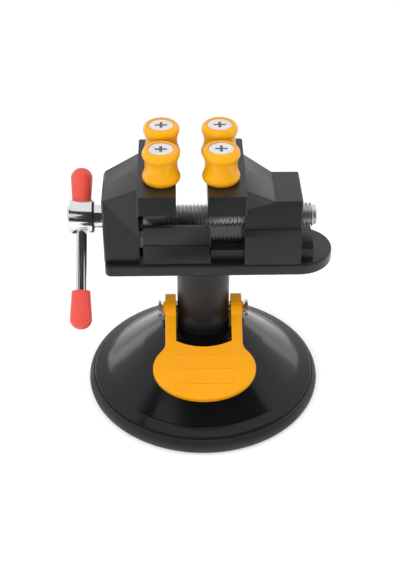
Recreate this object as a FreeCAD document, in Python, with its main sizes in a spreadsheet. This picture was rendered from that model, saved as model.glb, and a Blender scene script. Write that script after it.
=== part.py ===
import FreeCAD, Part
import math
import os
import re
import Sketcher

# A small bench vise on a suction base. Millimetres, +Z up, +X from the fixed jaw to the
# moving jaw, -Y the side of the cam lever. The origin is on the bench, on the base's axis.

# Every size that can be set by itself, in groups, as the sheet holds them.
SIZES = {
    "Suction cup": {
        "cup_radius": 40.2,
        "cup_height": 5.7,
        "cup_edge_inset": 1.5,
        "cup_thickness": 2.2,
        "cup_dome": 2.3,
        "lip_width": 4.7,
        "flex_width": 3.0,
        "rim_seat_drop": 0.7,
        "rim_seat_width": 2.9,
    },
    "Base housing": {
        "rim_gap": 0.2,
        "rim_edge_height": 1.3,
        "rim_shoulder_width": 5.1,
        "cone_foot_rise": 2.9,
        "cone_rise": 18.1,
        "plateau_width": 4.25,
        "shell_wall": 2.2,
        "hub_inset": 1.0,
        "socket_depth": 9.0,
        "socket_floor_thickness": 2.5,
        "saddle_half_width": 19.9,
        "saddle_spread": 4.3,
        "saddle_step": 1.2,
    },
    "Column": {
        "column_radius": 8.75,
        "column_rise": 26.3,
        "column_wall": 4.15,
        "column_cap_thickness": 8.3,
        "column_screw_radius": 1.25,
        "column_screw_depth": 7.5,
        "column_screw_head_radius": 2.1,
        "column_screw_head_height": 1.7,
        "screw_slot_width": 0.7,
        "screw_slot_depth": 0.8,
    },
    "Pull stem and pin": {
        "stem_clearance": 0.2,
        "stem_rise_above_pin": 5.0,
        "stem_foot_radius": 12.0,
        "stem_foot_thickness": 1.8,
        "stem_flare": 1.6,
        "stem_drop": 2.0,
        "pin_rise": 5.0,
        "pin_radius": 1.5,
        "pin_end_gap": 0.7,
        "pin_head_radius": 2.85,
        "pin_head_thickness": 0.9,
        "pin_seat_depth": 0.6,
        "slot_end_gap": 0.15,
        "running_gap": 0.05,
    },
    "Cam lever": {
        "lever_angle": 27.0,
        "lever_lift": 5.0,
        "lever_thickness": 2.5,
        "arm_gap": 0.55,
        "arm_thickness": 3.6,
        "cam_clearance": 0.3,
        "cam_forward": 2.47,
        "cam_upward": 0.25,
        "ear_radius": 3.2,
        "ear_forward": 0.3,
        "ear_upward": 2.3,
        "fork_depth": 14.6,
        "fork_arc_rise": 2.2,
        "neck_round": 4.0,
        "pad_centre": 24.2,
        "pad_half_width": 17.0,
        "pad_half_length": 11.25,
        "pad_edge_round": 0.8,
        "grip_length": 20.0,
        "grip_width": 0.8,
        "grip_height": 0.25,
        "grip_start": 19.2,
        "grip_spacing": 5.2,
        "boss_radius": 2.3,
        "boss_height": 0.7,
    },
    "Head bolt": {
        "bolt_radius": 2.5,
        "bolt_head_gap": 0.35,
        "bolt_head_height": 5.0,
        "bolt_socket_width": 4.0,
        "bolt_socket_depth": 2.5,
        "bolt_tip_cover": 0.7,
    },
    "Vise plate": {
        "plate_thickness": 4.2,
        "plate_half_width": 11.3,
        "plate_tuck": 0.1,
        "plate_round_centre": 31.0,
        "plate_corner_radius": 2.2,
        "plate_edge_round": 0.6,
        "ridge_half_width": 3.0,
        "ridge_height": 1.7,
        "ridge_overrun": 3.0,
    },
    "Fixed jaw": {
        "wall_inner": 20.7,
        "wall_thickness": 11.4,
        "wall_inset": 0.6,
        "wall_half_depth": 9.14,
        "wall_drop": 6.5,
        "shoulder_half_depth": 11.4,
        "fixed_shoulder_drop": 1.3,
        "fixed_shoulder_depth": 20.5,
        "jaw_rise": 30.0,
        "jaw_half_depth": 18.2,
        "fixed_jaw_length": 12.0,
        "fixed_jaw_thickness": 6.6,
        "cheek_reach": 10.6,
        "cheek_left_gap": 1.3,
        "cheek_rise": 13.9,
        "cheek_setback": 0.8,
        "cheek_thickness": 1.7,
        "cheek_step_rise": 7.2,
        "cheek_step": 0.25,
        "corner_round": 0.7,
        "eaves_step": 0.4,
    },
    "Moving jaw": {
        "jaw_gap": 9.7,
        "moving_jaw_length": 12.0,
        "moving_jaw_thickness": 6.9,
        "slope_length": 9.3,
        "block_length": 8.9,
        "block_drop": 7.4,
        "moving_shoulder_drop": 1.9,
        "moving_shoulder_depth": 10.4,
        "foot_rise": 10.8,
        "foot_ledge_rise": 12.0,
        "tongue_setback": 1.3,
        "tongue_overhang": 4.1,
        "tongue_side_gap": 0.2,
        "tongue_rise": 5.7,
        "tongue_bevel": 1.6,
        "slide_gap": 0.1,
        "groove_side_gap": 0.15,
    },
    "Lead screw": {
        "screw_rise": 12.0,
        "screw_radius": 3.9,
        "thread_pitch": 1.25,
        "thread_depth": 0.76,
        "thread_crest": 0.16,
        "thread_foot": 1.1,
        "shank_length": 8.3,
        "screw_overhang": 5.3,
        "end_chamfer": 0.4,
        "shank_step": 0.05,
        "journal_step": 0.7,
        "journal_overhang": 4.3,
        "washer_rim": 1.1,
        "washer_thickness": 1.1,
        "washer_gap": 0.1,
    },
    "Hub and bar": {
        "neck_length": 2.9,
        "hub_length": 8.65,
        "hub_wall": 2.3,
        "hub_chamfer": 0.7,
        "neck_wall": 0.6,
        "bar_radius": 1.8,
        "bar_lean": 47.0,
        "bar_mouth_width": 1.15,
        "bar_mouth_depth": 1.4,
        "bar_travel": 19.1,
        "cap_stop_gap": 0.1,
        "cap_seat_depth": 1.7,
        "cap_side_gap": 0.15,
        "cap_length": 12.2,
        "cap_wall": 1.2,
        "cap_flare": 0.55,
        "cap_dome_height": 3.2,
        "cap_dome_bulge": 0.76,
        "cap_tip_radius": 0.8,
        "cap_end_wall": 1.6,
    },
    "Pegs": {
        "fixed_peg_inset": 4.42,
        "moving_peg_inset": 4.28,
        "peg_spacing": 15.4,
        "peg_height": 11.0,
        "peg_foot_radius": 5.2,
        "peg_lip_width": 0.55,
        "peg_lip_height": 2.3,
        "peg_top_inset": 0.4,
        "peg_lip_bulge": 0.41,
        "peg_waist_hollow": 0.71,
        "peg_screw_radius": 2.0,
        "peg_screw_length": 16.0,
        "peg_screw_head_radius": 3.8,
        "peg_screw_head_taper": 2.0,
        "peg_screw_rim": 0.3,
        "peg_screw_sink": 0.2,
        "peg_screw_seat_gap": 0.1,
        "cross_length": 3.8,
        "cross_width": 0.9,
        "cross_depth": 1.3,
    },
    "Cuts": {
        "overrun": 1.0,
    },
}

# Places and radii that follow from the sizes, from the bench up and from the jaws outwards.
PLACES = {
    "cup_edge_radius": "cup_radius - cup_edge_inset",
    "lip_inner_radius": "cup_edge_radius - lip_width",
    "flex_radius": "lip_inner_radius - flex_width",
    "rim_seat_height": "cup_height - rim_seat_drop",
    "rim_radius": "cup_edge_radius - 2 * rim_gap",
    "cone_foot_radius": "rim_radius - rim_shoulder_width",
    "cone_foot_height": "rim_seat_height + cone_foot_rise",
    "plateau_radius": "column_radius + plateau_width",
    "plateau_height": "cone_foot_height + cone_rise",
    "hub_radius": "plateau_radius - hub_inset",
    "cone_steepness": "cone_rise / (cone_foot_radius - plateau_radius)",
    "wall_height": "shell_wall * sqrt(1 + pow(cone_steepness; 2))",
    "socket_floor_height": "plateau_height - socket_depth",
    "column_bore_radius": "column_radius - column_wall",
    "bolt_head_radius": "column_bore_radius - bolt_head_gap",
    "column_screw_circle": "(column_radius + column_bore_radius) / 2",
    "column_top": "plateau_height + column_rise",
    "bolt_head_top": "column_top - column_cap_thickness",
    "pin_height": "plateau_height + pin_rise",
    "arm_inner_offset": "column_radius + arm_gap",
    "arm_outer_offset": "arm_inner_offset + arm_thickness",
    "pin_head_inner": "arm_outer_offset + boss_height + pin_end_gap",
    "pin_half_length": "pin_head_inner + pin_head_thickness",
    "lever_underside": "lever_lift - lever_thickness",
    "cam_radius": "pin_rise + cam_upward - cam_clearance",
    "cam_along": "cam_upward * sin(lever_angle) - cam_forward * cos(lever_angle)",
    "cam_across": "cam_upward * cos(lever_angle) + cam_forward * sin(lever_angle)",
    "ear_along": "ear_upward * sin(lever_angle) - ear_forward * cos(lever_angle)",
    "ear_across": "ear_upward * cos(lever_angle) + ear_forward * sin(lever_angle)",
    "plate_top": "column_top + plate_thickness",
    "ridge_top": "plate_top + ridge_height",
    "ridge_right": "plate_round_centre + ridge_overrun",
    "jaw_top": "plate_top + jaw_rise",
    "wall_outer": "wall_inner + wall_thickness",
    "wall_outer_top": "wall_outer - wall_inset",
    "wall_outer_height": "jaw_top - wall_drop",
    "plate_left": "wall_outer - plate_tuck",
    "fixed_shoulder_low": "jaw_top - fixed_shoulder_depth",
    "fixed_jaw_face": "fixed_jaw_length - wall_inner",
    "cheek_right": "fixed_jaw_face + cheek_reach",
    "cheek_top": "plate_top + cheek_rise",
    "cheek_front": "plate_half_width - cheek_setback",
    "cheek_step_height": "plate_top + cheek_step_rise",
    "moving_jaw_face": "fixed_jaw_face + jaw_gap",
    "moving_jaw_back": "moving_jaw_face + moving_jaw_length",
    "body_flat_left": "moving_jaw_back + slope_length",
    "body_right": "body_flat_left + block_length",
    "body_flat_height": "jaw_top - block_drop",
    "moving_shoulder_low": "jaw_top - moving_shoulder_depth",
    "slide_height": "plate_top + slide_gap",
    "foot_height": "plate_top + foot_rise",
    "foot_ledge_height": "plate_top + foot_ledge_rise",
    "tongue_left": "moving_jaw_face + tongue_setback",
    "tongue_right": "body_right + tongue_overhang",
    "tongue_half_width": "cheek_front - cheek_thickness - tongue_side_gap",
    "tongue_top": "plate_top + tongue_rise",
    "screw_height": "plate_top + screw_rise",
    "thread_start": "wall_inner - shank_length",
    "thread_end": "body_right + screw_overhang",
    "journal_radius": "screw_radius - journal_step",
    "journal_end": "wall_outer + journal_overhang",
    "washer_radius": "screw_radius + washer_rim",
    "hub_right": "wall_outer + neck_length",
    "hub_left": "hub_right + hub_length",
    "hub_outer_radius": "journal_radius + hub_wall",
    "neck_radius": "journal_radius + neck_wall",
    "bar_place": "hub_right + hub_length / 2",
    "bar_mouth_radius": "bar_radius + bar_mouth_width",
    "bar_upper_reach": "hub_outer_radius - cap_seat_depth + cap_stop_gap + cap_length",
    "bar_lower_reach": "hub_outer_radius + bar_travel + cap_length",
    "cap_open_radius": "bar_radius + cap_wall",
    "cap_end_radius": "cap_open_radius + cap_flare",
    "fixed_peg_place": "fixed_jaw_face - fixed_peg_inset",
    "moving_peg_place": "moving_jaw_face + moving_peg_inset",
    "peg_lip_radius": "peg_foot_radius + peg_lip_width",
    "peg_top_radius": "peg_foot_radius - peg_top_inset",
}

document = FreeCAD.newDocument("suction_vise")
sheet = document.addObject("Spreadsheet::Sheet", "Sizes")
ALIASES = set()


def fill_sheet():
    """One row for each size: its group or name, then its value under an alias."""
    row = 1
    for group, sizes in SIZES.items():
        sheet.set("A%d" % row, group)
        row += 1
        for alias, size in sizes.items():
            sheet.set("A%d" % row, alias)
            sheet.set("B%d" % row, str(size))
            sheet.setAlias("B%d" % row, alias)
            ALIASES.add(alias)
            row += 1
    document.recompute()


def formula(text):
    """Puts the sheet's name before each size that a formula names, and works out its places."""
    def named(word):
        name = word.group(0)
        if name in PLACES:
            return "(" + formula(PLACES[name]) + ")"
        return "Sizes." + name if name in ALIASES else name
    return re.sub(r"[a-z][a-z_]*", named, text)


def value(text):
    """The number that a formula of sizes gives, for a first outline or a direct shape."""
    return float(sheet.evalExpression(formula(text)))


def place(feature, x="0", y="0", z="0", axis=None, angle="0"):
    """Binds a feature's position, and its turn about an axis, to formulas."""
    if axis:
        feature.Placement.Rotation = FreeCAD.Rotation(axis, value(angle))
        feature.setExpression("Placement.Rotation.Angle", formula(angle))
    for letter, text in (("x", x), ("y", y), ("z", z)):
        feature.setExpression("Placement.Base." + letter, formula(text))
    return feature


X_AXIS = FreeCAD.Vector(1, 0, 0)
Y_AXIS = FreeCAD.Vector(0, 1, 0)
Z_AXIS = FreeCAD.Vector(0, 0, 1)

# Two places that are nearer than this are the same place.
SAME_PLACE = 0.001


def box(left, right, front, back, bottom, top):
    """A box between six formulas."""
    feature = document.addObject("Part::Box", "Block")
    feature.setExpression("Length", formula("(%s) - (%s)" % (right, left)))
    feature.setExpression("Width", formula("(%s) - (%s)" % (back, front)))
    feature.setExpression("Height", formula("(%s) - (%s)" % (top, bottom)))
    return place(feature, left, front, bottom)


def rod(radius, height, x="0", y="0", z="0", axis=None, angle="0"):
    """A cylinder that stands on a point, upright or turned about an axis."""
    feature = document.addObject("Part::Cylinder", "Rod")
    feature.setExpression("Radius", formula(radius))
    feature.setExpression("Height", formula(height))
    return place(feature, x, y, z, axis, angle)


def rod_along_x(radius, left, right, y="0", z="0"):
    """A cylinder that lies along X between two places."""
    return rod(radius, "(%s) - (%s)" % (right, left), left, y, z, Y_AXIS, "90")


def taper(radius, top_radius, height, x="0", y="0", z="0", axis=None, angle="0"):
    """A truncated cone that stands on a point."""
    feature = document.addObject("Part::Cone", "Taper")
    feature.setExpression("Radius1", formula(radius))
    feature.setExpression("Radius2", formula(top_radius))
    feature.setExpression("Height", formula(height))
    return place(feature, x, y, z, axis, angle)


def fuse(*pieces):
    feature = document.addObject("Part::MultiFuse", "Union")
    feature.Shapes = list(pieces)
    return feature


def cut(base, *tools):
    feature = document.addObject("Part::Cut", "Cut")
    feature.Base = base
    feature.Tool = tools[0] if len(tools) == 1 else fuse(*tools)
    return feature


def common(base, tool):
    feature = document.addObject("Part::Common", "Overlap")
    feature.Base = base
    feature.Tool = tool
    return feature


def arc_between(start, end, radius):
    """The short arc from start to end; it bulges to the left when the radius is positive."""
    chord = end - start
    half = chord.Length / 2
    across = FreeCAD.Vector(-chord.y, chord.x, 0).normalize()
    side = 1 if radius > 0 else -1
    centre = (start + end) / 2 - across * side * math.sqrt(radius * radius - half * half)
    first, last = (end, start) if radius > 0 else (start, end)
    angles = [math.atan2(point.y - centre.y, point.x - centre.x) for point in (first, last)]
    circle = Part.Circle(centre, Z_AXIS, abs(radius))
    return Part.ArcOfCircle(circle, angles[0], angles[1])


def arc_radius(point, after):
    """The radius of the arc from one point of an outline to the next, from its rise."""
    return ("(pow((%s) - (%s); 2) + pow((%s) - (%s); 2)) / (8 * abs(%s)) + abs(%s) / 2"
            % (after[0], point[0], after[1], point[1], point[2], point[2]))


def outline(body, plane, points):
    """A closed sketch through points (x, y) or (x, y, rise of the arc to the next point)."""
    sketch = body.newObject("Sketcher::SketchObject", "Outline")
    origin = [part for part in body.Origin.OriginFeatures if part.Role == plane][0]
    sketch.AttachmentSupport = (origin, "")
    sketch.MapMode = "FlatFace"
    places = [FreeCAD.Vector(value(point[0]), value(point[1]), 0) for point in points]
    followers = points[1:] + points[:1]
    ends = []
    for index, point in enumerate(points):
        start = places[index]
        end = places[(index + 1) % len(points)]
        if len(point) == 2:
            sketch.addGeometry(Part.LineSegment(start, end), False)
            ends.append((1, 2))
        else:
            radius = math.copysign(value(arc_radius(point, followers[index])), value(point[2]))
            sketch.addGeometry(arc_between(start, end, radius), False)
            ends.append((2, 1) if radius > 0 else (1, 2))
    for index in range(len(points)):
        after = (index + 1) % len(points)
        sketch.addConstraint(
            Sketcher.Constraint("Coincident", index, ends[index][1], after, ends[after][0]))
    for index, point in enumerate(points):
        for kind, text in (("DistanceX", point[0]), ("DistanceY", point[1])):
            number = sketch.addConstraint(
                Sketcher.Constraint(kind, -1, 1, index, ends[index][0], value(text)))
            sketch.setExpression("Constraints[%d]" % number, formula(text))
        if len(point) > 2:
            radius = arc_radius(point, followers[index])
            number = sketch.addConstraint(Sketcher.Constraint("Radius", index, value(radius)))
            sketch.setExpression("Constraints[%d]" % number, formula(radius))
    return sketch


def new_body(label):
    body = document.addObject("PartDesign::Body", "Body")
    body.Label = label
    return body


def turned(label, points):
    """A body turned about its own Z axis from an outline of (radius, height) points."""
    body = new_body(label)
    sketch = outline(body, "XZ_Plane", points)
    feature = body.newObject("PartDesign::Revolution", "Turn")
    feature.Profile = sketch
    feature.ReferenceAxis = (sketch, ["V_Axis"])
    feature.Angle = 360
    return body


def pressed(label, plane, points, length, centred=False):
    """A body of one thickness from an outline on one of its origin planes."""
    body = new_body(label)
    feature = body.newObject("PartDesign::Pad", "Pad")
    feature.Profile = outline(body, plane, points)
    feature.setExpression("Length", formula(length))
    if centred:
        feature.SideType = "Symmetric"
    return body


def rounded(solid, radius, wanted):
    """Fillets the edges of a solid that the test wants."""
    document.recompute()
    edges = [index + 1 for index, edge in enumerate(solid.Shape.Edges) if wanted(edge)]
    feature = document.addObject("Part::Fillet", "Round")
    feature.Base = solid
    feature.Edges = [(edge, value(radius), value(radius)) for edge in edges]
    return feature


def upright(edge):
    """Whether an edge is straight and along Z."""
    ends = [vertex.Point for vertex in edge.Vertexes]
    return len(ends) == 2 and (ends[1] - ends[0]).cross(Z_AXIS).Length < SAME_PLACE


def between(first, second):
    """A solid with straight sides between two outlines that have as many corners."""
    wires = []
    for corners in (first, second):
        points = [FreeCAD.Vector(*[value(text) for text in corner]) for corner in corners]
        wires.append(Part.makePolygon(points + points[:1]))
    feature = document.addObject("Part::Feature", "Head")
    feature.Shape = Part.makeLoft(wires, True, True)
    return feature


fill_sheet()
FINISHED = {}


def finish(node, feature):
    """Names a finished sub-part; its label is also the name of its file."""
    feature.Label = node
    FINISHED[node] = feature


def make_suction_cup():
    # Rubber disc, domed off the bench inside its lip, with a bead around the housing's rim.
    edge = "cup_edge_radius"
    rebate = "cup_edge_radius - rim_gap"
    foot = "stem_foot_radius"
    flex_top = "cup_dome * (1 - flex_radius / lip_inner_radius) + cup_thickness"
    cup = turned("suction_cup", [
        ("0", "cup_dome"),
        ("lip_inner_radius", "0"),
        (edge, "0", "-cup_edge_inset"),
        (edge, "cup_height"),
        (rebate, "cup_height"),
        (rebate, "rim_seat_height"),
        (rebate + " - rim_seat_width", "rim_seat_height"),
        ("flex_radius", flex_top),
        (foot, "cup_dome + cup_thickness"),
        ("0", "cup_dome + cup_thickness"),
    ])
    finish("suction_cup", cup)


def make_base_housing():
    # Cone-shaped shell with a socket for the column, and a raised saddle under the lever.
    inner_top = "cone_foot_height + (cone_foot_radius - hub_radius) * cone_steepness - wall_height"
    inner_foot = "cone_foot_radius - (wall_height - cone_foot_rise) / cone_steepness"
    shell = turned("Shell", [
        ("rim_radius", "rim_seat_height"),
        ("rim_radius", "rim_seat_height + rim_edge_height"),
        ("cone_foot_radius", "cone_foot_height"),
        ("plateau_radius", "plateau_height"),
        ("column_radius + running_gap", "plateau_height"),
        ("column_radius + running_gap", "socket_floor_height"),
        ("column_bore_radius", "socket_floor_height"),
        ("column_bore_radius", "socket_floor_height - socket_floor_thickness"),
        ("hub_radius", "socket_floor_height - socket_floor_thickness"),
        ("hub_radius", inner_top),
        (inner_foot, "rim_seat_height"),
    ])
    ring = turned("Saddle ring", [
        ("cone_foot_radius", "cone_foot_height"),
        ("cone_foot_radius + saddle_step", "cone_foot_height"),
        ("plateau_radius + saddle_step", "plateau_height"),
        ("plateau_radius", "plateau_height"),
    ])
    saddle_plan = pressed("Saddle plan", "XY_Plane", [
        ("saddle_half_width", "0"),
        ("-saddle_half_width", "0"),
        ("-saddle_half_width - saddle_spread", "-cup_radius"),
        ("saddle_half_width + saddle_spread", "-cup_radius"),
    ], "plateau_height + overrun")
    holes = [rod("column_screw_radius + running_gap", "socket_floor_height", x, y)
             for x, y in column_screw_places()]
    finish("base_housing", cut(fuse(shell, common(ring, saddle_plan)), *holes))


COLUMN_SCREW_ANGLES = (90, 210, 330)


def column_screw_places():
    """Three places around the stem, the first one straight behind it."""
    return [("column_screw_circle * cos(%d)" % angle, "column_screw_circle * sin(%d)" % angle)
            for angle in COLUMN_SCREW_ANGLES]


def make_column():
    # Tube that carries the vise; its two side slots let the lever's pin rise and fall.
    post = rod("column_radius", "column_top - socket_floor_height", z="socket_floor_height")
    bore = rod("column_bore_radius", "bolt_head_top - socket_floor_height + overrun",
               z="socket_floor_height - overrun")
    bolt_hole = rod("bolt_radius + running_gap", "column_cap_thickness + 2 * overrun",
                    z="bolt_head_top - overrun")
    slot_half_width = "pin_radius + slot_end_gap"
    slot = box("-column_radius - overrun", "column_radius + overrun",
               "-(%s)" % slot_half_width, slot_half_width,
               "pin_height - stem_drop", "pin_height")
    slot_ends = [rod_along_x(slot_half_width, "-column_radius - overrun",
                             "column_radius + overrun", z=height)
                 for height in ("pin_height - stem_drop", "pin_height")]
    screw_holes = [rod("column_screw_radius + running_gap", "column_screw_depth + overrun",
                       x, y, "socket_floor_height - overrun")
                   for x, y in column_screw_places()]
    finish("column", cut(post, bore, bolt_hole, slot, *slot_ends, *screw_holes))


def make_column_screws():
    # Three short screws from below, through the socket's floor into the column.
    seat = "(socket_floor_height - socket_floor_thickness)"
    screws = []
    for x, y in column_screw_places():
        head = rod("column_screw_head_radius", "column_screw_head_height",
                   x, y, seat + " - column_screw_head_height")
        shank = rod("column_screw_radius", "socket_floor_thickness + column_screw_depth",
                    x, y, seat)
        slot = box(x + " - column_screw_head_radius", x + " + column_screw_head_radius",
                   y + " - screw_slot_width / 2", y + " + screw_slot_width / 2",
                   seat + " - column_screw_head_height - overrun",
                   seat + " - column_screw_head_height + screw_slot_depth")
        screws.append(cut(fuse(head, shank), slot))
    group = document.addObject("Part::Compound", "Screws")
    group.Links = screws
    finish("column_screws", group)


def make_pull_stem():
    # Stem that the lever pulls up, with the foot that lifts the middle of the rubber.
    radius = "column_bore_radius - stem_clearance"
    foot = "cup_dome + cup_thickness"
    stem = turned("Stem", [
        ("0", foot),
        ("stem_foot_radius", foot),
        ("stem_foot_radius", foot + " + stem_foot_thickness"),
        (radius + " + stem_flare", foot + " + stem_foot_thickness"),
        (radius, foot + " + stem_foot_thickness + stem_flare"),
        (radius, "pin_height + stem_rise_above_pin"),
        ("0", "pin_height + stem_rise_above_pin"),
    ])
    pin_hole = rod_along_x("pin_radius + running_gap", "-column_radius", "column_radius",
                           z="pin_height")
    finish("pull_stem", cut(stem, pin_hole))


def make_lever_pin():
    # Headed pin through the lever, the column's slots and the stem, and its push-on cap.
    seat_end = "pin_head_inner + pin_seat_depth"
    shank = rod_along_x("pin_radius", "-pin_head_inner", seat_end, z="pin_height")
    head = rod_along_x("pin_head_radius", "-pin_half_length", "-pin_head_inner", z="pin_height")
    finish("lever_pin", fuse(shank, head))
    disc = rod_along_x("pin_head_radius", "pin_head_inner", "pin_half_length", z="pin_height")
    seat = rod_along_x("pin_radius", "pin_head_inner - overrun", seat_end, z="pin_height")
    finish("pin_retainer", cut(disc, seat))


def make_cam_lever():
    # Forked lever. Its own frame has the pin at the origin, the pad towards -Y and +Z up.
    pad_outline = document.addObject("Part::Ellipse", "PadOutline")
    pad_outline.setExpression("MajorRadius", formula("pad_half_width"))
    pad_outline.setExpression("MinorRadius", formula("pad_half_length"))
    pad = document.addObject("Part::Extrusion", "Pad")
    pad.Base = pad_outline
    pad.DirMode = "Custom"
    pad.Dir = Z_AXIS
    pad.Solid = True
    pad.setExpression("LengthFwd", formula("lever_thickness"))
    place(pad_outline, "0", "-pad_centre", "lever_underside")
    arms = [box(left, right, "-pad_centre", "cam_along", "lever_underside", "lever_lift")
            for left, right in (("-arm_outer_offset", "-arm_inner_offset"),
                                ("arm_inner_offset", "arm_outer_offset"))]
    fork = pressed("Fork", "XY_Plane", [
        ("-arm_inner_offset", "overrun"),
        ("-arm_inner_offset", "-fork_depth", "-fork_arc_rise"),
        ("arm_inner_offset", "-fork_depth"),
        ("arm_inner_offset", "overrun"),
    ], "lever_lift + overrun")
    plate = cut(fuse(pad, *arms), fork)
    plate = rounded(plate, "neck_round", lambda edge: upright(edge) and in_neck(edge))
    plate = rounded(plate, "pad_edge_round", on_pad_rim)
    grips = [box("-grip_length / 2", "grip_length / 2",
                 "-(%s) - grip_width / 2" % middle, "-(%s) + grip_width / 2" % middle,
                 "lever_lift - overrun", "lever_lift + grip_height")
             for middle in ("grip_start", "grip_start + grip_spacing",
                            "grip_start + 2 * grip_spacing")]
    ears = []
    for side in (-1, 1):
        inner = "%d * arm_inner_offset" % side
        outer = "%d * arm_outer_offset" % side
        left, right = (outer, inner) if side < 0 else (inner, outer)
        ears.append(rod_along_x("cam_radius", left, right, "cam_along", "cam_across"))
        ears.append(rod_along_x("ear_radius", left, right, "ear_along", "ear_across"))
        boss_end = "%d * (arm_outer_offset + boss_height)" % side
        left, right = (boss_end, outer) if side < 0 else (outer, boss_end)
        ears.append(rod_along_x("boss_radius", left, right))
    pin_hole = rod_along_x("pin_radius + running_gap", "-pin_half_length", "pin_half_length")
    lever = cut(fuse(plate, *grips, *ears), pin_hole)
    place(lever, z="pin_height", axis=X_AXIS, angle="lever_angle")
    finish("cam_lever", lever)


def in_neck(edge):
    """Whether an upright edge is where an arm runs into the pad."""
    middle = edge.CenterOfMass
    outside = abs(middle.x) > value("arm_inner_offset + running_gap")
    return outside and middle.y < value("-fork_depth")


def on_pad_rim(edge):
    """Whether an edge is on the plate's top face and on the outside of the lever."""
    bounds = edge.BoundBox
    reach = max(abs(bounds.XMin), abs(bounds.XMax))
    on_top = bounds.ZMin > value("lever_lift") - value("running_gap")
    return on_top and reach > value("arm_inner_offset + running_gap") and bounds.YMin < value("cam_along")


def make_head_bolt():
    # Socket-head bolt inside the column; it pulls the vise's plate down on the column.
    head = rod("bolt_head_radius", "bolt_head_height", z="bolt_head_top - bolt_head_height")
    shank = rod("bolt_radius", "ridge_top - bolt_tip_cover - bolt_head_top", z="bolt_head_top")
    socket = document.addObject("Part::Prism", "Socket")
    socket.Polygon = 6
    socket.setExpression("Circumradius", formula("bolt_socket_width / sqrt(3)"))
    socket.setExpression("Height", formula("bolt_socket_depth + overrun"))
    place(socket, z="bolt_head_top - bolt_head_height - overrun")
    finish("head_bolt", cut(fuse(head, shank), socket))


def peg_places(side):
    """Front and rear peg of one jaw, whose pegs stand at a formula of X."""
    x = side + "_peg_place"
    return [("front", x, "-peg_spacing / 2"), ("rear", x, "peg_spacing / 2")]


def peg_screw_holes(side, jaw_bottom):
    return [rod("peg_screw_radius + running_gap", "jaw_top - (%s) + 2 * overrun" % jaw_bottom,
                x, y, jaw_bottom + " - overrun") for _, x, y in peg_places(side)]


def head_block(side, x_in, x_out, top_out, shoulder_drop, shoulder_low, bottom):
    """The block behind a jaw: a roof-shaped slope that narrows away from the jaw."""
    rows = []
    for x, ridge, eaves, half, low in (
            (x_in, "jaw_top", "jaw_top - " + shoulder_drop, "shoulder_half_depth", shoulder_low),
            (x_out, top_out, top_out, "wall_half_depth", top_out + " - eaves_step")):
        rows.append([(x, "0", ridge), (x, "-(%s)" % half, eaves), (x, "-wall_half_depth", low),
                     (x, "-wall_half_depth", bottom), (x, "wall_half_depth", bottom),
                     (x, "wall_half_depth", low), (x, half, eaves)])
    return between(rows[0], rows[1])


def make_vise_body():
    # One piece: plate, fixed jaw on its wall, front cheek and the guide ridge.
    bar = box("-plate_left", "plate_round_centre", "-plate_half_width", "plate_half_width",
              "column_top", "plate_top")
    round_end = rod("plate_half_width", "plate_thickness", "plate_round_centre", "0", "column_top")
    plate = rounded(fuse(bar, round_end), "plate_corner_radius",
                    lambda edge: upright(edge) and edge.CenterOfMass.x < 0)
    plate = rounded(plate, "plate_edge_round", lambda edge: edge.BoundBox.ZLength < SAME_PLACE)
    wall = head_block("fixed", "-wall_inner", "-wall_outer_top", "wall_outer_height",
                      "fixed_shoulder_drop", "fixed_shoulder_low", "plate_top - overrun")
    wall_foot = between(
        [("-wall_outer_top", "-wall_half_depth", "plate_top"),
         ("-wall_outer_top", "wall_half_depth", "plate_top"),
         ("-wall_outer_top", "wall_half_depth", "wall_outer_height"),
         ("-wall_outer_top", "-wall_half_depth", "wall_outer_height")],
        [("-wall_outer", "-wall_half_depth + corner_round", "plate_top"),
         ("-wall_outer", "wall_half_depth - corner_round", "plate_top"),
         ("-wall_outer", "wall_half_depth - corner_round", "wall_outer_height - corner_round"),
         ("-wall_outer", "-wall_half_depth + corner_round", "wall_outer_height - corner_round")])
    jaw = rounded(box("-wall_inner", "fixed_jaw_face", "-jaw_half_depth",
                      "jaw_half_depth", "jaw_top - fixed_jaw_thickness", "jaw_top"),
                  "corner_round",
                  lambda edge: upright(edge)
                  and edge.CenterOfMass.x < value("-wall_inner + overrun"))
    cheek = box("-wall_inner + cheek_left_gap", "cheek_right",
                "-cheek_front + cheek_step", "-cheek_front + cheek_thickness",
                "plate_top - overrun", "cheek_top")
    cheek_foot = box("-wall_inner + cheek_left_gap", "cheek_right",
                     "-cheek_front", "-cheek_front + cheek_thickness",
                     "plate_top - overrun", "cheek_step_height")
    guide = box("-wall_inner", "ridge_right", "-ridge_half_width", "ridge_half_width",
                "plate_top - overrun", "ridge_top")
    screw_bore = rod_along_x("journal_radius + running_gap", "-wall_outer - overrun",
                             "-wall_inner + overrun", z="screw_height")
    bolt_hole = rod("bolt_radius + running_gap", "ridge_top - bolt_tip_cover / 2 - column_top"
                    " + overrun", z="column_top - overrun")
    body = cut(fuse(plate, wall, wall_foot, jaw, cheek, cheek_foot, guide),
               screw_bore, bolt_hole, *peg_screw_holes("fixed", "jaw_top - fixed_jaw_thickness"))
    finish("vise_body", body)


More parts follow.
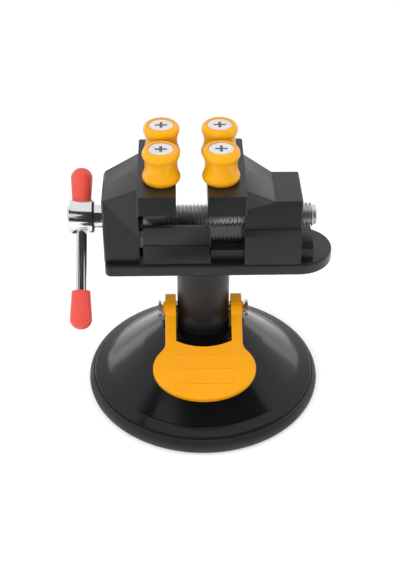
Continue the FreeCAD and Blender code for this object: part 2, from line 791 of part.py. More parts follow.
def make_moving_jaw():
    # Jaw, its block, the foot that rides on the plate and the tongue around the guide ridge.
    back = "moving_jaw_back"
    bottom = "slide_height"
    slope = head_block("moving", back, "body_flat_left", "body_flat_height",
                       "moving_shoulder_drop", "moving_shoulder_low", bottom)
    block = rounded(box("body_flat_left", "body_right", "-wall_half_depth", "wall_half_depth",
                        bottom, "body_flat_height"), "corner_round",
                    lambda edge: edge.CenterOfMass.x > value("body_right") - SAME_PLACE
                    and edge.CenterOfMass.z > value(bottom + " + overrun"))
    jaw = rounded(box("moving_jaw_face", back, "-jaw_half_depth", "jaw_half_depth",
                      "jaw_top - moving_jaw_thickness", "jaw_top"), "corner_round",
                  lambda edge: upright(edge)
                  and edge.CenterOfMass.x > value(back + " - overrun"))
    foot = pressed("Foot", "YZ_Plane", [
        ("-plate_half_width", bottom),
        ("-plate_half_width", "foot_height"),
        ("-wall_half_depth", "foot_ledge_height"),
        ("wall_half_depth", "foot_ledge_height"),
        ("plate_half_width", "foot_height"),
        ("plate_half_width", bottom),
    ], "body_right - %s" % back)
    place(foot, x=back)
    tongue = pressed("Tongue", "YZ_Plane", [
        ("-tongue_half_width", bottom),
        ("-tongue_half_width", "tongue_top - tongue_bevel"),
        ("-tongue_half_width + tongue_bevel", "tongue_top"),
        ("tongue_half_width - tongue_bevel", "tongue_top"),
        ("tongue_half_width", "tongue_top - tongue_bevel"),
        ("tongue_half_width", bottom),
    ], "tongue_right - tongue_left")
    place(tongue, x="tongue_left")
    groove = box("tongue_left - overrun", "tongue_right + overrun",
                 "-ridge_half_width - groove_side_gap", "ridge_half_width + groove_side_gap",
                 bottom + " - overrun", "ridge_top + slide_gap")
    screw_bore = rod_along_x("screw_radius + running_gap", back + " - overrun",
                             "body_right + overrun", z="screw_height")
    body = cut(fuse(slope, block, jaw, foot, tongue), groove, screw_bore,
               *peg_screw_holes("moving", "jaw_top - moving_jaw_thickness"))
    finish("moving_jaw", body)


def make_lead_screw():
    # Journal, plain shank and right-hand thread, turned about X.
    shoulder = "(-wall_inner + washer_gap + washer_thickness)"
    core_radius = "screw_radius - thread_depth"
    spindle = turned("Spindle", [
        ("0", "-journal_end"),
        ("journal_radius - end_chamfer", "-journal_end"),
        ("journal_radius", "-journal_end + end_chamfer"),
        ("journal_radius", shoulder),
        ("screw_radius + shank_step", shoulder),
        ("screw_radius + shank_step", "-thread_start"),
        (core_radius, "-thread_start + thread_depth"),
        (core_radius, "thread_end - end_chamfer"),
        (core_radius + " - end_chamfer", "thread_end"),
        ("0", "thread_end"),
    ])
    spindle.Placement.Rotation = FreeCAD.Rotation(Y_AXIS, 90)
    ridge = document.addObject("Part::Feature", "Thread")
    ridge.Shape = thread_ridge()
    ridge.Placement = FreeCAD.Placement(FreeCAD.Vector(value("-thread_start - thread_foot"), 0, 0),
                                        FreeCAD.Rotation(Y_AXIS, 90))
    screw = fuse(spindle, ridge)
    place(screw, z="screw_height")
    finish("lead_screw", screw)


def thread_ridge():
    """The thread's ridge alone, upright, swept along its helix."""
    foot_radius = value("screw_radius - thread_depth - running_gap")
    crest_radius = value("screw_radius")
    foot = value("thread_foot") / 2
    crest = value("thread_crest") / 2
    length = value("thread_start + thread_end + thread_foot / 2 - end_chamfer")
    path = Part.makeLongHelix(value("thread_pitch"), length, foot_radius, 0)
    corners = [(foot_radius, -foot), (crest_radius, -crest), (crest_radius, crest),
               (foot_radius, foot)]
    points = [FreeCAD.Vector(radius, 0, height) for radius, height in corners]
    profile = Part.makePolygon(points + points[:1])
    return Part.Wire(path.Edges).makePipeShell([profile], True, True)


def make_thrust_washer():
    left = "-wall_inner + washer_gap"
    disc = rod_along_x("washer_radius", left, left + " + washer_thickness", z="screw_height")
    hole = rod_along_x("journal_radius + running_gap", left + " - overrun",
                       left + " + washer_thickness + overrun", z="screw_height")
    finish("thrust_washer", cut(disc, hole))


def along_bar(distance):
    """Place in Y and Z of a point on the bar, from the screw's axis up along the bar."""
    return ("(%s) * sin(bar_lean)" % distance, "screw_height + (%s) * cos(bar_lean)" % distance)


def on_bar(feature, distance, flipped=False):
    """Sets a feature on the bar's axis, its own Z up along the bar, or down when flipped."""
    y, z = along_bar(distance)
    return place(feature, "-bar_place", y, z, X_AXIS, "180 - bar_lean" if flipped else "-bar_lean")


def make_screw_hub():
    # Chrome hub on the journal's end, with a neck up to the wall and the bar's cross hole.
    hub = turned("Hub", [
        ("0", "-hub_left"),
        ("hub_outer_radius - hub_chamfer", "-hub_left"),
        ("hub_outer_radius", "-hub_left + hub_chamfer"),
        ("hub_outer_radius", "-hub_right - hub_chamfer"),
        ("hub_outer_radius - hub_chamfer", "-hub_right"),
        ("neck_radius", "-hub_right"),
        ("neck_radius", "-wall_outer - washer_gap"),
        ("0", "-wall_outer - washer_gap"),
    ])
    place(hub, z="screw_height", axis=Y_AXIS, angle="90")
    journal_hole = rod_along_x("journal_radius + running_gap", "-journal_end - running_gap",
                               "-wall_outer", z="screw_height")
    cross_hole = on_bar(rod("bar_radius + running_gap", "4 * hub_outer_radius"),
                        "-2 * hub_outer_radius")
    mouth = on_bar(taper("bar_mouth_radius + overrun", "bar_radius + running_gap",
                         "bar_mouth_depth + overrun"), "-hub_outer_radius - overrun")
    cap_seat = on_bar(rod("cap_open_radius + cap_side_gap", "cap_seat_depth + overrun"),
                      "hub_outer_radius - cap_seat_depth")
    finish("screw_hub", cut(hub, journal_hole, cross_hole, mouth, cap_seat))


def make_bar_and_caps():
    # Sliding bar of the screw, with a soft cap on each end.
    upper = "bar_upper_reach - cap_end_wall"
    lower = "-(bar_lower_reach - cap_end_wall)"
    bar = rod("bar_radius", "(%s) - (%s)" % (upper, lower))
    finish("t_bar", on_bar(bar, lower))
    for node, reach, flipped in (("bar_cap_upper", "bar_upper_reach", False),
                                 ("bar_cap_lower", "bar_lower_reach", True)):
        cap = turned("Cap", [
            ("bar_radius", "0"),
            ("cap_open_radius", "0"),
            ("cap_end_radius", "cap_length - cap_dome_height", "-cap_dome_bulge"),
            ("cap_tip_radius", "cap_length"),
            ("0", "cap_length"),
            ("0", "cap_length - cap_end_wall"),
            ("bar_radius", "cap_length - cap_end_wall"),
        ])
        distance = "%s - cap_length" % reach
        finish(node, on_bar(cap, "-(%s)" % distance if flipped else distance, flipped))


def make_pegs():
    # Four soft pegs, two on each jaw, each held by a countersunk screw.
    for side in ("fixed", "moving"):
        for end, x, y in peg_places(side):
            screw_top = "(peg_height - peg_screw_sink)"
            peg = turned("Peg", [
                ("peg_screw_radius + running_gap", "0"),
                ("peg_foot_radius", "0", "-peg_lip_bulge"),
                ("peg_lip_radius", "peg_lip_height", "peg_waist_hollow"),
                ("peg_lip_radius", "peg_height - peg_lip_height", "-peg_lip_bulge"),
                ("peg_top_radius", "peg_height"),
                ("peg_screw_head_radius + peg_screw_seat_gap", "peg_height"),
                ("peg_screw_head_radius + peg_screw_seat_gap", screw_top + " - peg_screw_rim"),
                ("peg_screw_radius + running_gap",
                 screw_top + " - peg_screw_rim - peg_screw_head_taper"),
            ])
            finish("%s_%s_peg" % (side, end), place(peg, x, y, "jaw_top"))
            finish("%s_%s_peg_screw" % (side, end), peg_screw(x, y, "jaw_top + " + screw_top))


def peg_screw(x, y, top):
    """Countersunk cross-head screw; its own frame has Z down and its top at the origin."""
    screw = turned("Screw", [
        ("0", "0"),
        ("peg_screw_head_radius", "0"),
        ("peg_screw_head_radius", "-peg_screw_rim"),
        ("peg_screw_radius", "-peg_screw_rim - peg_screw_head_taper"),
        ("peg_screw_radius", "-peg_screw_length"),
        ("0", "-peg_screw_length"),
    ])
    arms = [box("-%s / 2" % along, "%s / 2" % along, "-%s / 2" % across, "%s / 2" % across,
                "-cross_depth", "overrun")
            for along, across in (("cross_length", "cross_width"), ("cross_width", "cross_length"))]
    return place(cut(screw, *arms), x, y, top)


make_suction_cup()
make_base_housing()
make_column()
make_column_screws()
make_pull_stem()
make_lever_pin()
make_cam_lever()
make_head_bolt()
make_vise_body()
make_moving_jaw()
make_lead_screw()
make_thrust_washer()
make_screw_hub()
make_bar_and_caps()
make_pegs()
document.recompute()

for feature in document.Objects:
    if "Invalid" in feature.State or "Error" in feature.State:
        raise RuntimeError("%s (%s) failed: %s" % (feature.Name, feature.Label, feature.State))
for node, feature in FINISHED.items():
    if feature.Shape.isNull() or not feature.Shape.isValid():
        raise RuntimeError("%s has no valid shape" % node)

os.makedirs("parts", exist_ok=True)
for node, feature in FINISHED.items():
    feature.Shape.exportStep(os.path.join("parts", node + ".step"))
    print(node, len(feature.Shape.Solids), round(feature.Shape.Volume, 2))
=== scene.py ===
import bpy
import bmesh
import math
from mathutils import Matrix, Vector


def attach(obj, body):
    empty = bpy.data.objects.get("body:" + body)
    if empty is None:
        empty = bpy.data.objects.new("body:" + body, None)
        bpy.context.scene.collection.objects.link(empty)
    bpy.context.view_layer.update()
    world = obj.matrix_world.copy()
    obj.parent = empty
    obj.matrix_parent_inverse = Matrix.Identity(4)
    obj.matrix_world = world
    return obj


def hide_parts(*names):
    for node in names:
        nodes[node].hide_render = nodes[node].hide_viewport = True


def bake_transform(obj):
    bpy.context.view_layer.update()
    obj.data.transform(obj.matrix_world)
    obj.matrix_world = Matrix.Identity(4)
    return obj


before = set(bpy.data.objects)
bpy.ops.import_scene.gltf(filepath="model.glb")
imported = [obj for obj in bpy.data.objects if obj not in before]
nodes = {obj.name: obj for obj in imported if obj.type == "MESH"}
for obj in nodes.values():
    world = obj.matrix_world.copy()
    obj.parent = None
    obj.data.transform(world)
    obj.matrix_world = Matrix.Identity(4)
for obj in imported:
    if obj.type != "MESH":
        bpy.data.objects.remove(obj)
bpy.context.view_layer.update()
mm = 0.001
print("frame loaded:", len(nodes), "nodes")


# shader helpers

noiseLow, noiseHigh = 0.3, 0.7
cloudDetail, fineDetail = 3.0, 2.0


def newMaterial(name, colour, roughness, metallic=0.0):
    material = bpy.data.materials.new(name)
    material.use_nodes = True
    shader = material.node_tree.nodes["Principled BSDF"]
    shader.inputs["Base Color"].default_value = (*colour, 1)
    shader.inputs["Roughness"].default_value = roughness
    shader.inputs["Metallic"].default_value = metallic
    return material, shader


def addNode(material, kind, **inputs):
    node = material.node_tree.nodes.new(kind)
    for name, setting in inputs.items():
        node.inputs[name].default_value = setting
    return node


def join(material, fromSocket, toSocket):
    material.node_tree.links.new(fromSocket, toSocket)


def objectNoise(material, scale, detail=cloudDetail, stretch=(1, 1, 1)):
    coords = addNode(material, "ShaderNodeTexCoord")
    mapping = addNode(material, "ShaderNodeMapping")
    mapping.inputs["Scale"].default_value = stretch
    noise = addNode(material, "ShaderNodeTexNoise", Scale=scale, Detail=detail)
    join(material, coords.outputs["Object"], mapping.inputs["Vector"])
    join(material, mapping.outputs["Vector"], noise.inputs["Vector"])
    return noise


def mottle(material, shader, look):
    noise = objectNoise(material, look["cloudScale"])
    dark = [channel * look["darkest"] for channel in look["colour"]]
    ramp = addNode(material, "ShaderNodeValToRGB")
    ramp.color_ramp.elements[0].position = noiseLow
    ramp.color_ramp.elements[1].position = noiseHigh
    ramp.color_ramp.elements[0].color = (*dark, 1)
    ramp.color_ramp.elements[1].color = (*look["colour"], 1)
    join(material, noise.outputs["Fac"], ramp.inputs["Fac"])
    join(material, ramp.outputs["Color"], shader.inputs["Base Color"])


def varyRoughness(material, shader, noise, look):
    spread = addNode(material, "ShaderNodeMapRange")
    spread.inputs["From Min"].default_value = noiseLow
    spread.inputs["From Max"].default_value = noiseHigh
    spread.inputs["To Min"].default_value = look["roughness"] - look["roughnessSpread"]
    spread.inputs["To Max"].default_value = look["roughness"] + look["roughnessSpread"]
    join(material, noise.outputs["Fac"], spread.inputs["Value"])
    join(material, spread.outputs["Result"], shader.inputs["Roughness"])


def roughen(material, shader, noise, strength, depth):
    bump = addNode(material, "ShaderNodeBump", Strength=strength, Distance=depth)
    join(material, noise.outputs["Fac"], bump.inputs["Height"])
    join(material, bump.outputs["Normal"], shader.inputs["Normal"])


def mouldedPlastic(name, look):
    material, shader = newMaterial(name, look["colour"], look["roughness"])
    mottle(material, shader, look)
    varyRoughness(material, shader, objectNoise(material, look["smudgeScale"]), look)
    roughen(material, shader, objectNoise(material, look["grainScale"], fineDetail),
            look["grainStrength"], look["grainDepth"])
    shader.inputs["Specular IOR Level"].default_value = look["specular"]
    return material


def turnedMetal(name, look):
    material, shader = newMaterial(name, look["colour"], look["roughness"], 1.0)
    mottle(material, shader, look)
    lines = objectNoise(material, look["lineScale"], fineDetail, look["lineStretch"])
    varyRoughness(material, shader, lines, look)
    roughen(material, shader, lines, look["lineStrength"], look["lineDepth"])
    return material


plastics = {
    "rubber": dict(colour=(0.016, 0.016, 0.017), darkest=0.7, roughness=0.52, roughnessSpread=0.09,
                   cloudScale=60, smudgeScale=110, grainScale=2600, grainStrength=0.25,
                   grainDepth=0.00006, specular=0.35),
    "housing": dict(colour=(0.005, 0.005, 0.0055), darkest=0.7, roughness=0.16,
                    roughnessSpread=0.05, cloudScale=45, smudgeScale=70, grainScale=420,
                    grainStrength=0.05, grainDepth=0.00008, specular=0.32),
    "column": dict(colour=(0.009, 0.009, 0.010), darkest=0.8, roughness=0.40, roughnessSpread=0.05,
                   cloudScale=80, smudgeScale=120, grainScale=1900, grainStrength=0.16,
                   grainDepth=0.00005, specular=0.42),
    "body": dict(colour=(0.012, 0.012, 0.013), darkest=0.7, roughness=0.34, roughnessSpread=0.07,
                 cloudScale=70, smudgeScale=95, grainScale=1700, grainStrength=0.20,
                 grainDepth=0.00005, specular=0.42),
    # tongue: glossier than the body, and darker as painted shade for the strip under the screw
    "tongue": dict(colour=(0.008, 0.008, 0.009), darkest=0.8, roughness=0.12, roughnessSpread=0.04,
                   cloudScale=70, smudgeScale=95, grainScale=500, grainStrength=0.05,
                   grainDepth=0.00004, specular=0.5),
    "lever": dict(colour=(0.83, 0.335, 0.001), darkest=0.94, roughness=0.30, roughnessSpread=0.05,
                  cloudScale=55, smudgeScale=80, grainScale=900, grainStrength=0.08,
                  grainDepth=0.00005, specular=0.22),
    "peg": dict(colour=(0.85, 0.385, 0.003), darkest=0.93, roughness=0.30, roughnessSpread=0.05,
                cloudScale=120, smudgeScale=160, grainScale=1100, grainStrength=0.08,
                grainDepth=0.00004, specular=0.35),
    "cap": dict(colour=(0.72, 0.072, 0.050), darkest=0.9, roughness=0.38, roughnessSpread=0.05,
                cloudScale=110, smudgeScale=150, grainScale=1300, grainStrength=0.12,
                grainDepth=0.00005, specular=0.5),
}
metals = {
    "steel": dict(colour=(0.76, 0.76, 0.76), darkest=0.85, roughness=0.44, roughnessSpread=0.07,
                  cloudScale=160, lineScale=900, lineStretch=(0.3, 1, 1), lineStrength=0.10,
                  lineDepth=0.00003),
    "darkSteel": dict(colour=(0.055, 0.055, 0.058), darkest=0.7, roughness=0.42,
                      roughnessSpread=0.06, cloudScale=200, lineScale=700, lineStretch=(1, 1, 1),
                      lineStrength=0.12, lineDepth=0.00003),
    "chrome": dict(colour=(0.78, 0.78, 0.78), darkest=0.90, roughness=0.13, roughnessSpread=0.04,
                   cloudScale=90, lineScale=500, lineStretch=(1, 1, 0.3), lineStrength=0.05,
                   lineDepth=0.00002),
    "headSteel": dict(colour=(0.86, 0.85, 0.86), darkest=0.90, roughness=0.42,
                      roughnessSpread=0.06, cloudScale=220, lineScale=800, lineStretch=(1, 1, 1),
                      lineStrength=0.08, lineDepth=0.00002),
}
finishes = {}
for makeFinish, looks in ((mouldedPlastic, plastics), (turnedMetal, metals)):
    for name, look in looks.items():
        finishes[name] = makeFinish(name + "Finish", look)
print("finishes made:", len(finishes))

# the four pegs and their screws are told apart by the end of their names
nodeFinish = {
    "suction_cup": "rubber", "base_housing": "housing", "column": "column",
    "column_screws": "steel", "pull_stem": "column", "lever_pin": "steel",
    "pin_retainer": "steel", "cam_lever": "lever", "head_bolt": "steel", "vise_body": "body",
    "moving_jaw": "body", "lead_screw": "steel", "thrust_washer": "darkSteel",
    "screw_hub": "chrome", "t_bar": "chrome", "bar_cap_upper": "cap", "bar_cap_lower": "cap",
}
for name, node in nodes.items():
    finish = nodeFinish.get(name) or ("headSteel" if name.endswith("screw") else "peg")
    node.data.materials.clear()
    node.data.materials.append(finishes[finish])
print("frame nodes finished")


# mesh helpers

mergeDistance = 0.000001


def newObject(name, meshBuild, material):
    mesh = bpy.data.meshes.new(name)
    meshBuild.to_mesh(mesh)
    meshBuild.free()
    mesh.materials.append(material)
    thing = bpy.data.objects.new(name, mesh)
    bpy.context.scene.collection.objects.link(thing)
    return thing


def addPiece(name, meshBuild, finish, body, smoothAngle=35):
    piece = newObject(name, meshBuild, finishes[finish])
    piece.data.shade_smooth()
    piece.data.set_sharp_from_angle(angle=math.radians(smoothAngle))
    if body:
        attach(piece, body)
    return piece


def spinProfile(points, steps, closed=True):
    build = bmesh.new()
    corners = [build.verts.new((radius * mm, 0, height * mm)) for radius, height in points]
    edges = [build.edges.new(ends) for ends in zip(corners, corners[1:])]
    if closed:
        edges.append(build.edges.new((corners[-1], corners[0])))
    bmesh.ops.spin(build, geom=corners + edges, cent=(0, 0, 0), axis=(0, 0, 1),
                   angle=math.tau, steps=steps, use_merge=True)
    bmesh.ops.remove_doubles(build, verts=build.verts, dist=mergeDistance)
    bmesh.ops.recalc_face_normals(build, faces=build.faces)
    return build


def rounding(points, cornerRadius, segments=4):
    # each corner with a radius becomes a short run of points on a quadratic curve
    smooth = []
    for index, point in enumerate(points):
        corner = Vector(point)
        size = cornerRadius.get(index, 0)
        if not size:
            smooth.append(tuple(corner))
            continue
        before = corner + (Vector(points[index - 1]) - corner).normalized() * size
        after = corner + (Vector(points[(index + 1) % len(points)]) - corner).normalized() * size
        for step in range(segments + 1):
            share = step / segments
            blend = (before * (1 - share) ** 2 + corner * 2 * share * (1 - share)
                     + after * share ** 2)
            smooth.append(tuple(blend))
    return smooth


def cutAway(build, planes, close=False):
    # a plane is a point and the direction in which everything is removed
    for point, outward in planes:
        everything = build.verts[:] + build.edges[:] + build.faces[:]
        cut = bmesh.ops.bisect_plane(build, geom=everything, plane_co=point, plane_no=outward,
                                     clear_outer=True, dist=mergeDistance)
        if close:
            rim = [item for item in cut["geom_cut"] if isinstance(item, bmesh.types.BMEdge)]
            bmesh.ops.holes_fill(build, edges=rim, sides=0)


def soften(piece, width, segments, angle):
    bevel = piece.modifiers.new("soften", "BEVEL")
    bevel.width = width * mm
    bevel.segments = segments
    bevel.limit_method = "ANGLE"
    bevel.angle_limit = math.radians(angle)
    bevel.harden_normals = True


# rubber disc: the lip and bead stay with the housing, the middle is a separate piece attached to
# no body
cup = dict(outerRadius=40.2, edgeRadius=38.7, height=5.7, edgeWidth=0.2, edgeRound=0.12,
           lipInner=34.0, seatHeight=5.0, seatInner=35.7, flexRadius=31.0, dome=2.3,
           thickness=2.2, footRadius=12.0, ribRadius=36.3, ribDepth=0.35, ribWidth=0.5,
           blendStart=0.2, steps=192, bulgeSteps=12, flexSteps=12)


def makeCup():
    splitLow = cup["dome"] * (1 - cup["flexRadius"] / cup["lipInner"])
    splitTop = splitLow + cup["thickness"]
    rib = cup["ribRadius"]
    lip = [(cup["flexRadius"], splitLow), (cup["lipInner"], 0),
           (rib - cup["ribWidth"], 0), (rib, cup["ribDepth"]), (rib + cup["ribWidth"], 0),
           (cup["edgeRadius"], 0)]
    half = cup["height"] / 2
    bulge = cup["outerRadius"] - cup["edgeRadius"]
    arc = (half ** 2 + bulge ** 2) / (2 * bulge)
    sweep = math.asin(half / arc)
    for step in range(1, cup["bulgeSteps"]):
        turn = -sweep + 2 * sweep * step / cup["bulgeSteps"]
        lip.append((cup["outerRadius"] - arc + arc * math.cos(turn), half + arc * math.sin(turn)))
    topEdge = len(lip)
    innerEdge = cup["edgeRadius"] - cup["edgeWidth"]
    lip += [(cup["edgeRadius"], cup["height"]), (innerEdge, cup["height"]),
            (innerEdge, cup["seatHeight"]), (cup["seatInner"], cup["seatHeight"]),
            (cup["flexRadius"], splitTop)]
    build = spinProfile(rounding(lip, {topEdge: cup["edgeRound"]}), cup["steps"])
    lipPiece = addPiece("cupLip", build, "rubber", "base")
    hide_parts("suction_cup")
    low = [(0, cup["dome"])]
    for step in range(1, cup["flexSteps"] + 1):
        radius = cup["flexRadius"] * step / cup["flexSteps"]
        low.append((radius, cup["dome"] * (1 - radius / cup["lipInner"])))
    high = [(cup["flexRadius"], splitTop), (cup["footRadius"], cup["dome"] + cup["thickness"]),
            (0, cup["dome"] + cup["thickness"])]
    membrane = addPiece("cupMembrane", spinProfile(low + high, cup["steps"], closed=False),
                        "rubber", None)
    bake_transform(membrane)
    print("rubber disc made")


makeCup()


# glossy housing, turned, with the raised saddle in front
housing = dict(rimRadius=38.3, rimLow=5.0, rimTop=6.3, footRadius=33.2, footHeight=7.9,
               plateauRadius=13.0, plateauHeight=26.0, boreRadius=8.8, boreDepth=9,
               innerRadius=12.0, innerHeight=14.5, roofInset=1, roofDrop=3.2, footInset=2.6,
               footDrop=0.9, rimInset=1.4, rimRound=0.5, footRound=1.6, plateauRound=0.9,
               boreRound=0.3, roundSteps=6, steps=192, smoothAngle=40)
saddle = dict(halfWidth=19.9, spread=4.3, reach=40.2, step=1.2, edgeRound=0.8, roundSteps=3,
              roundAngle=35, smoothAngle=30)


def makeHousing():
    h = housing
    outer = [(h["rimRadius"], h["rimLow"]), (h["rimRadius"], h["rimTop"]),
             (h["footRadius"], h["footHeight"]), (h["plateauRadius"], h["plateauHeight"]),
             (h["boreRadius"], h["plateauHeight"]),
             (h["boreRadius"], h["plateauHeight"] - h["boreDepth"]),
             (h["innerRadius"], h["innerHeight"]),
             (h["plateauRadius"] - h["roofInset"], h["plateauHeight"] - h["roofDrop"]),
             (h["footRadius"] - h["footInset"], h["footHeight"] - h["footDrop"]),
             (h["footRadius"] - h["rimInset"], h["rimLow"])]
    rounds = {1: h["rimRound"], 2: h["footRound"], 3: h["plateauRound"], 4: h["boreRound"]}
    profile = rounding(outer, rounds, h["roundSteps"])
    shell = addPiece("housingShell", spinProfile(profile, h["steps"]), "housing", "base",
                     h["smoothAngle"])
    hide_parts("base_housing")
    print("housing made")


def makeSaddle():
    h = housing
    slope = [(h["footRadius"], h["footHeight"]),
             (h["footRadius"] + saddle["step"], h["footHeight"]),
             (h["plateauRadius"] + saddle["step"], h["plateauHeight"]),
             (h["plateauRadius"], h["plateauHeight"])]
    build = spinProfile(slope, h["steps"])
    # the sides stand further apart at the foot
    lean = Vector((saddle["reach"], saddle["spread"], 0)).normalized()
    sides = [((saddle["halfWidth"] * mm, 0, 0), lean),
             ((-saddle["halfWidth"] * mm, 0, 0), Vector((-lean.x, lean.y, 0))),
             ((0, 0, 0), (0, 1, 0))]
    cutAway(build, sides, close=True)
    bmesh.ops.recalc_face_normals(build, faces=build.faces)
    piece = addPiece("housingSaddle", build, "housing", "base", saddle["smoothAngle"])
    soften(piece, saddle["edgeRound"], saddle["roundSteps"], saddle["roundAngle"])
    print("saddle made")


makeHousing()
makeSaddle()


# the hard pieces get the small rounding that a mould or a tumbler leaves on every edge
softEdges = {
    "vise_body": dict(body="base", finish="body", slot="body_black", width=0.35, flat=12),
    "moving_jaw": dict(body="jaw", finish="body", slot="body_black", width=0.35, flat=12),
    "column": dict(body="base", finish="column", slot="column_grey", width=0.25, flat=30),
    "cam_lever": dict(body="lever", finish="lever", slot="lever_orange", width=0.22, flat=30),
    "screw_hub": dict(body="screw", finish="chrome", slot="chrome", width=0.15, flat=30),
}
softRules = dict(mergeDistance=0.000005, flatAngle=1, roundSteps=2, roundAngle=30)


def makeSoftEdged(node, look):
    build = bmesh.new()
    build.from_mesh(nodes[node].data)
    bmesh.ops.remove_doubles(build, verts=build.verts, dist=softRules["mergeDistance"])
    bmesh.ops.dissolve_limit(build, angle_limit=math.radians(softRules["flatAngle"]),
                             verts=build.verts, edges=build.edges, use_dissolve_boundaries=False)
    name = "soft" + "".join(word.capitalize() for word in node.split("_"))
    piece = addPiece(name, build, look["finish"], look["body"], look["flat"])
    soften(piece, look["width"], softRules["roundSteps"], softRules["roundAngle"])
    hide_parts(node)
    print(name, "made,", len(piece.data.polygons), "faces")
    return piece


softPieces = {node: makeSoftEdged(node, look) for node, look in softEdges.items()}

# the tongue slides on the plate; its faces in this box get a glossier copy of the body finish,
# darker as painted shade under the screw, between the jaws
tongue = dict(leftOf=21.0, below=62.5, halfWidth=8.4)


def paintTongueGlossAndShade(jaw):
    jaw.data.materials.append(finishes["tongue"])
    shiny = 0
    for face in jaw.data.polygons:
        middle = face.center
        onTongue = (middle.x < tongue["leftOf"] * mm and middle.z < tongue["below"] * mm
                    and abs(middle.y) < tongue["halfWidth"] * mm)
        if onTongue:
            face.material_index = 1
            shiny += 1
    print("tongue polished,", shiny, "faces")


paintTongueGlossAndShade(softPieces["moving_jaw"])


# studio: white floor, soft boxes, dark cards and the photograph's camera
floor = dict(size=3.0, colour=(0.80, 0.80, 0.80), roughness=0.6, specular=0.1, glow=0.35)
worldStrength = dict(lighting=0.55, seen=1.0)
photoCamera = dict(place=(-7.0, -312.1, 267.8), aim=(-1.07, 0.02, 40.6), lens=72.2, sensor=36.0,
                   clipStart=0.01)
lamps = {
    "topBox": dict(place=(0.05, -0.10, 0.60), aim=(0, 0, 0.05), size=(0.50, 0.40), power=0.9,
                   mirrored=False),
    "leftBox": dict(place=(-0.48, -0.12, 0.24), aim=(0, 0, 0.04), size=(0.26, 0.42), power=0.6,
                    mirrored=False),
    "rightBox": dict(place=(0.48, -0.08, 0.24), aim=(0, 0, 0.04), size=(0.26, 0.42), power=0.5,
                     mirrored=False),
    "frontBox": dict(place=(-0.10, -0.55, 0.34), aim=(0, 0, 0.06), size=(0.40, 0.22), power=1.5,
                     mirrored=False),
    "leftCard": dict(place=(-0.30, -0.41, 0.40), aim=(0, 0, 0.06), size=(0.44, 0.26), power=0.30,
                     mirrored=True),
    "backLeftBox": dict(place=(-0.46, 0.52, 0.13), aim=(0, 0, 0.03), size=(0.20, 0.24),
                        power=0.20, mirrored=True),
    "backRightBox": dict(place=(0.46, 0.52, 0.13), aim=(0, 0, 0.03), size=(0.20, 0.24),
                         power=0.13, mirrored=True),
}
cards = dict(radius=0.85, halfAngle=76, topAngle=66, wallColumns=48, wallRows=32,
             floorStart=0.12, floorLeft=-0.05, floorRight=0.70, lift=0.001,
             colour=(0.05, 0.05, 0.052), roughness=0.9)


def lookAt(thing, place, aim):
    direction = Vector(aim) - Vector(place)
    thing.location = place
    thing.rotation_mode = "QUATERNION"
    thing.rotation_quaternion = direction.to_track_quat("-Z", "Y")


def addStage(name, build, material):
    piece = newObject(name, build, material)
    return piece


def seenRays(tree):
    # 1 for what the camera sees, straight or through a reflection or glass
    rays = tree.nodes.new("ShaderNodeLightPath")
    mirrored = tree.nodes.new("ShaderNodeMath")
    mirrored.operation = "MAXIMUM"
    seen = tree.nodes.new("ShaderNodeMath")
    seen.operation = "MAXIMUM"
    tree.links.new(rays.outputs["Is Camera Ray"], mirrored.inputs[0])
    tree.links.new(rays.outputs["Is Glossy Ray"], mirrored.inputs[1])
    tree.links.new(mirrored.outputs[0], seen.inputs[0])
    tree.links.new(rays.outputs["Is Transmission Ray"], seen.inputs[1])
    return seen.outputs[0]


def makeFloor():
    build = bmesh.new()
    bmesh.ops.create_grid(build, x_segments=1, y_segments=1, size=floor["size"])
    material, shader = newMaterial("floorPaint", floor["colour"], floor["roughness"])
    shader.inputs["Specular IOR Level"].default_value = floor["specular"]
    shader.inputs["Emission Color"].default_value = (1, 1, 1, 1)
    glow = addNode(material, "ShaderNodeMapRange")
    glow.inputs["To Max"].default_value = floor["glow"]
    join(material, seenRays(material.node_tree), glow.inputs["Value"])
    join(material, glow.outputs["Result"], shader.inputs["Emission Strength"])
    addStage("floor", build, material)


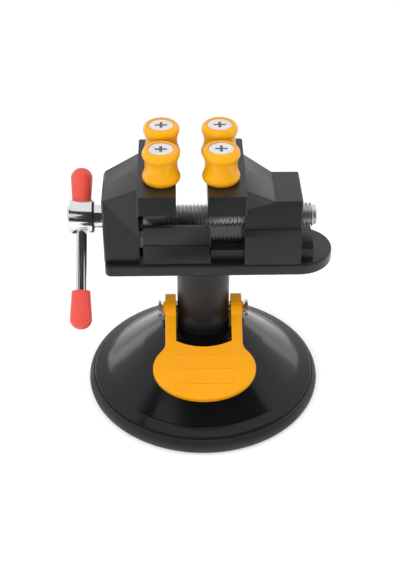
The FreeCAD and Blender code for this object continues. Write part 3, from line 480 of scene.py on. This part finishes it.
def makeCards():
    # dark room in front of the object, seen only in its glossy surfaces
    material = newMaterial("cardPaint", cards["colour"], cards["roughness"])[0]
    half = math.radians(cards["halfAngle"])
    top = math.radians(cards["topAngle"])
    wall = bmesh.new()
    bmesh.ops.create_uvsphere(wall, u_segments=cards["wallColumns"],
                              v_segments=cards["wallRows"], radius=cards["radius"])
    cutAway(wall, [((0, 0, cards["lift"]), (0, 0, -1)),
                   ((0, 0, cards["radius"] * math.sin(top)), (0, 0, 1)),
                   ((0, 0, 0), (math.cos(half), math.sin(half), 0)),
                   ((0, 0, 0), (-math.cos(half), math.sin(half), 0))])
    ground = bmesh.new()
    halfDepth = (cards["radius"] - cards["floorStart"]) / 2
    halfWidth = (cards["floorRight"] - cards["floorLeft"]) / 2
    bmesh.ops.create_grid(ground, x_segments=1, y_segments=1, size=1)
    bmesh.ops.scale(ground, verts=ground.verts, vec=(halfWidth, halfDepth, 1))
    middle = (cards["floorLeft"] + halfWidth, -cards["floorStart"] - halfDepth, cards["lift"])
    bmesh.ops.translate(ground, verts=ground.verts, vec=middle)
    for name, build in (("darkWall", wall), ("darkGround", ground)):
        card = addStage(name, build, material)
        card.visible_camera = False
        card.visible_diffuse = False
        card.visible_shadow = False
        card.visible_transmission = False


def makeLights():
    world = bpy.data.worlds.new("studioWorld")
    bpy.context.scene.world = world
    world.use_nodes = True
    tree = world.node_tree
    background = tree.nodes["Background"]
    background.inputs["Color"].default_value = (1, 1, 1, 1)
    strength = tree.nodes.new("ShaderNodeMapRange")
    strength.inputs["To Min"].default_value = worldStrength["lighting"]
    strength.inputs["To Max"].default_value = worldStrength["seen"]
    tree.links.new(seenRays(tree), strength.inputs["Value"])
    tree.links.new(strength.outputs["Result"], background.inputs["Strength"])
    for name, lamp in lamps.items():
        light = bpy.data.lights.new(name, "AREA")
        light.shape = "RECTANGLE"
        light.size, light.size_y = lamp["size"]
        light.energy = lamp["power"]
        holder = bpy.data.objects.new(name, light)
        holder.visible_glossy = lamp["mirrored"]
        bpy.context.scene.collection.objects.link(holder)
        lookAt(holder, lamp["place"], lamp["aim"])


def makeCamera():
    camera = bpy.data.cameras.new("photoCamera")
    camera.sensor_width = photoCamera["sensor"]
    camera.lens = photoCamera["lens"]
    camera.clip_start = photoCamera["clipStart"]
    holder = bpy.data.objects.new("photoCamera", camera)
    bpy.context.scene.collection.objects.link(holder)
    lookAt(holder, [c * mm for c in photoCamera["place"]], [c * mm for c in photoCamera["aim"]])
    bpy.context.scene.camera = holder
    bpy.context.scene.view_settings.view_transform = "Standard"


makeFloor()
makeCards()
makeLights()
makeCamera()
print("studio made")

bpy.context.view_layer.update()
